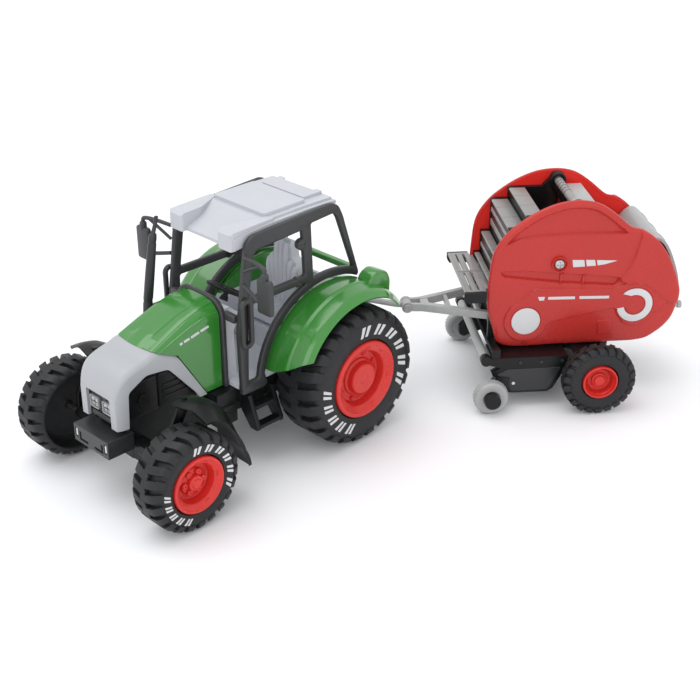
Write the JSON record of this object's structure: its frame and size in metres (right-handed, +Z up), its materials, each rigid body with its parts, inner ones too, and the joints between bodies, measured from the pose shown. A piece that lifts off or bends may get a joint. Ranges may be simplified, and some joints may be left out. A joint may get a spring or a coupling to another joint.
{
  "type": "toy tractor with baler",
  "caption": "Toy farm tractor with an open cab, pulling a round baler on a pivoting tow bar, with rolling wheels and a lifting tailgate.",
  "frame": {"origin": "on the ground, at the centre of the bounding box seen from above", "axes": "+X towards the tractor's front, +Y to the tractor's left, +Z up; the baler stands turned 39.25 degrees about the hitch pin"},
  "size_m": [0.2704, 0.1602, 0.1023],
  "materials": {
    "tyre_black": "matte rubber",
    "steel": "plain steel",
    "light_grey": "satin grey plastic",
    "green_gloss": "glossy green plastic",
    "red_gloss": "glossy red plastic",
    "silver": "satin silver-grey plastic",
    "pale_grey": "satin pale lavender-grey plastic",
    "black": "satin black plastic",
    "dark_grey": "satin dark grey plastic"
  },
  "bodies": {
    "tractor": {"cab_frame_left": "dark_grey", "cab_frame_right": "dark_grey", "cab_tub": "pale_grey", "chassis": "black", "cowl_arch": "dark_grey", "exhaust_stack": "dark_grey", "fender_crossbar": "green_gloss", "front_fender_left": "dark_grey", "front_fender_right": "dark_grey", "front_weight_block": "dark_grey", "grab_handle_left": "dark_grey", "grab_handle_right": "dark_grey", "grille_panel": "light_grey", "hitch_fork": "black", "hitch_pin": "steel", "hood": "green_gloss", "mirror_left": "dark_grey", "mirror_right": "dark_grey", "nose_cowl": "pale_grey", "rear_fender_left": "green_gloss", "rear_fender_right": "green_gloss", "roof": "pale_grey", "seat": "pale_grey", "steering_wheel": "dark_grey", "step_left": "black", "step_right": "black"},
    "rear_wheels": {"rear_axle": "steel", "rear_tyre_left": "tyre_black", "rear_tyre_right": "tyre_black", "rear_hub_left": "red_gloss", "rear_hub_right": "red_gloss"},
    "front_wheels": {"front_axle": "steel", "front_tyre_left": "tyre_black", "front_tyre_right": "tyre_black", "front_hub_left": "red_gloss", "front_hub_right": "red_gloss"},
    "tow_bar": {"tow_bar": "light_grey"},
    "baler": {"drawbar": "light_grey", "clevis_pin": "light_grey", "lower_frame": "black", "chamber_frame_left": "black", "chamber_frame_right": "black", "slat_panel": "silver", "windguard": "silver", "top_rod": "light_grey", "side_shell_left": "red_gloss", "side_shell_right": "red_gloss", "shell_screw_left": "steel", "shell_screw_right": "steel", "pickup_frame": "black", "pickup_roller": "light_grey"},
    "tailgate": {"tailgate": "light_grey"},
    "baler_wheels": {"baler_axle": "steel", "baler_tyre_left": "tyre_black", "baler_tyre_right": "tyre_black", "baler_hub_left": "red_gloss", "baler_hub_right": "red_gloss"},
    "gauge_wheel_left": {"gauge_wheel_left": "light_grey"},
    "gauge_wheel_right": {"gauge_wheel_right": "light_grey"}
  },
  "joints": [
    {"name": "rear_wheels_roll", "type": "hinge", "parent": "tractor", "child": "rear_wheels", "pos_m": [0.02493, -0.03284, 0.03], "axis": [0, 1, 0], "continuous": true},
    {"name": "front_wheels_roll", "type": "hinge", "parent": "tractor", "child": "front_wheels", "pos_m": [0.11463, -0.03284, 0.02056], "axis": [0, 1, 0], "continuous": true},
    {"name": "hitch_turn", "type": "hinge", "parent": "tractor", "child": "tow_bar", "pos_m": [-0.00437, -0.03284, 0.0425], "axis": [0, 0, 1], "range_deg": [-20.75, 99.25]},
    {"name": "clevis_tilt", "type": "hinge", "parent": "tow_bar", "child": "baler", "pos_m": [-0.02861, -0.01303, 0.0374], "axis": [0.6327, 0.7744, 0], "range_deg": [-10, 12]},
    {"name": "tailgate_lift", "type": "hinge", "parent": "baler", "child": "tailgate", "pos_m": [-0.0829, 0.03132, 0.0882], "axis": [0.6327, 0.7744, 0], "range_deg": [0, 60]},
    {"name": "baler_wheels_roll", "type": "hinge", "parent": "baler", "child": "baler_wheels", "pos_m": [-0.09025, 0.03733, 0.0162], "axis": [0.6327, 0.7744, 0], "continuous": true},
    {"name": "gauge_left_roll", "type": "hinge", "parent": "baler", "child": "gauge_wheel_left", "pos_m": [-0.03163, 0.03527, 0.0078], "axis": [0.6327, 0.7744, 0], "continuous": true},
    {"name": "gauge_right_roll", "type": "hinge", "parent": "baler", "child": "gauge_wheel_right", "pos_m": [-0.07655, -0.01971, 0.0078], "axis": [0.6327, 0.7744, 0], "continuous": true}
  ]
}
